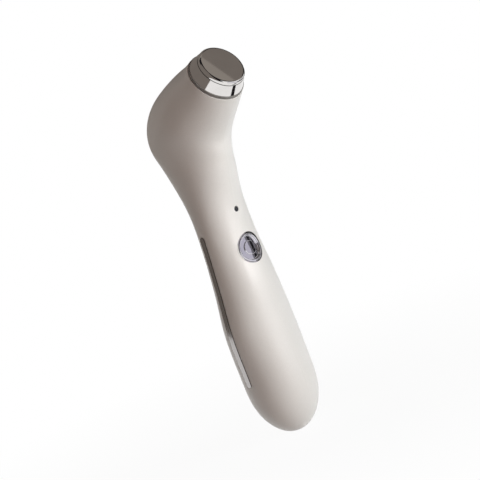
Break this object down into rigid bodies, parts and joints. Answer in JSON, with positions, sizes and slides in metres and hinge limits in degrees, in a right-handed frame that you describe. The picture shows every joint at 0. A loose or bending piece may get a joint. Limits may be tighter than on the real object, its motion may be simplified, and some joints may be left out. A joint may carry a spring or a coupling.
{
  "type": "cooling facial massager",
  "caption": "Handheld facial massager: an oval handle with a push button and side contact strips, and a bent head carrying a cooled, polished metal cap.",
  "frame": {"origin": "centre of the charging socket's mouth at the tail end of the handle", "axes": "+Z along the handle from the tail to the head, -Y towards the button side and the cooled plate, +X across the handle"},
  "size_m": [0.0366, 0.0642, 0.1807],
  "materials": {
    "pearl_casing": "satin pearl off-white",
    "strip_metal": "satin chrome plating",
    "cap_metal": "polished metal",
    "plate_metal": "mirror-polished metal",
    "button_metal": "polished metal",
    "dark_rubber": "dull dark elastomer",
    "clear_pipe": "smoky translucent plastic",
    "ceramic": "matt white alumina",
    "pellet": "dark sintered grains",
    "foam": "closed-cell foam",
    "sink_alloy": "extruded, plain",
    "screw_steel": "zinc-plated",
    "switch_black": "moulded",
    "board_green": "solder mask",
    "part_body": "moulded epoxy",
    "connector_cream": "moulded",
    "lamp_body": "clear epoxy",
    "chassis_grey": "moulded, fine texture",
    "cell_wrap": "shrink film",
    "nickel": "nickel strip",
    "socket_steel": "stamped steel",
    "motor_steel": "drawn steel",
    "weight_brass": "sintered heavy metal"
  },
  "bodies": {
    "housing": {"battery_cell": "cell_wrap", "battery_tabs": "nickel", "board_components": "part_body", "button_bezel": "cap_metal", "cap_ring": "cap_metal", "charge_chip": "part_body", "charging_socket": "socket_steel", "chassis": "chassis_grey", "chassis_screws": "screw_steel", "cold_ceramic": "ceramic", "cold_plate": "plate_metal", "collar_gasket": "dark_rubber", "control_board": "board_green", "control_chip": "part_body", "cooler_pellets": "pellet", "cooler_screws": "screw_steel", "foam_ring": "foam", "front_shell": "pearl_casing", "heat_sink": "sink_alloy", "hot_ceramic": "ceramic", "indicator_lamp": "lamp_body", "lead_connectors": "connector_cream", "left_contact_strip": "strip_metal", "light_pipe": "clear_pipe", "motor_can": "motor_steel", "motor_end_cap": "switch_black", "motor_sleeve": "dark_rubber", "plate_seal": "dark_rubber", "rear_cover": "pearl_casing", "right_contact_strip": "strip_metal", "socket_tongue": "switch_black", "tact_switch": "switch_black", "tail_board": "board_green", "temperature_sensor": "part_body"},
    "button": {"button_cap": "button_metal"},
    "plunger": {"switch_plunger": "switch_black"},
    "rotor": {"motor_shaft": "screw_steel", "eccentric_weight": "weight_brass"}
  },
  "joints": [
    {"name": "button_press", "type": "slide", "parent": "housing", "child": "button", "axis": [0, 0.9945, -0.1045], "range_m": [0, 0.0005], "stiffness_N_per_m": 2000},
    {"name": "switch_travel", "type": "slide", "parent": "housing", "child": "plunger", "axis": [0, 0.9945, -0.1045], "range_m": [0, 0.0005]},
    {"name": "motor_spin", "type": "hinge", "parent": "housing", "child": "rotor", "pos_m": [0, 0.00143, 0.09345], "axis": [0, 0.1045, 0.9945], "continuous": true}
  ],
  "couplings": [
    {"joint": "switch_travel", "follows": "button_press", "ratio": 1}
  ]
}
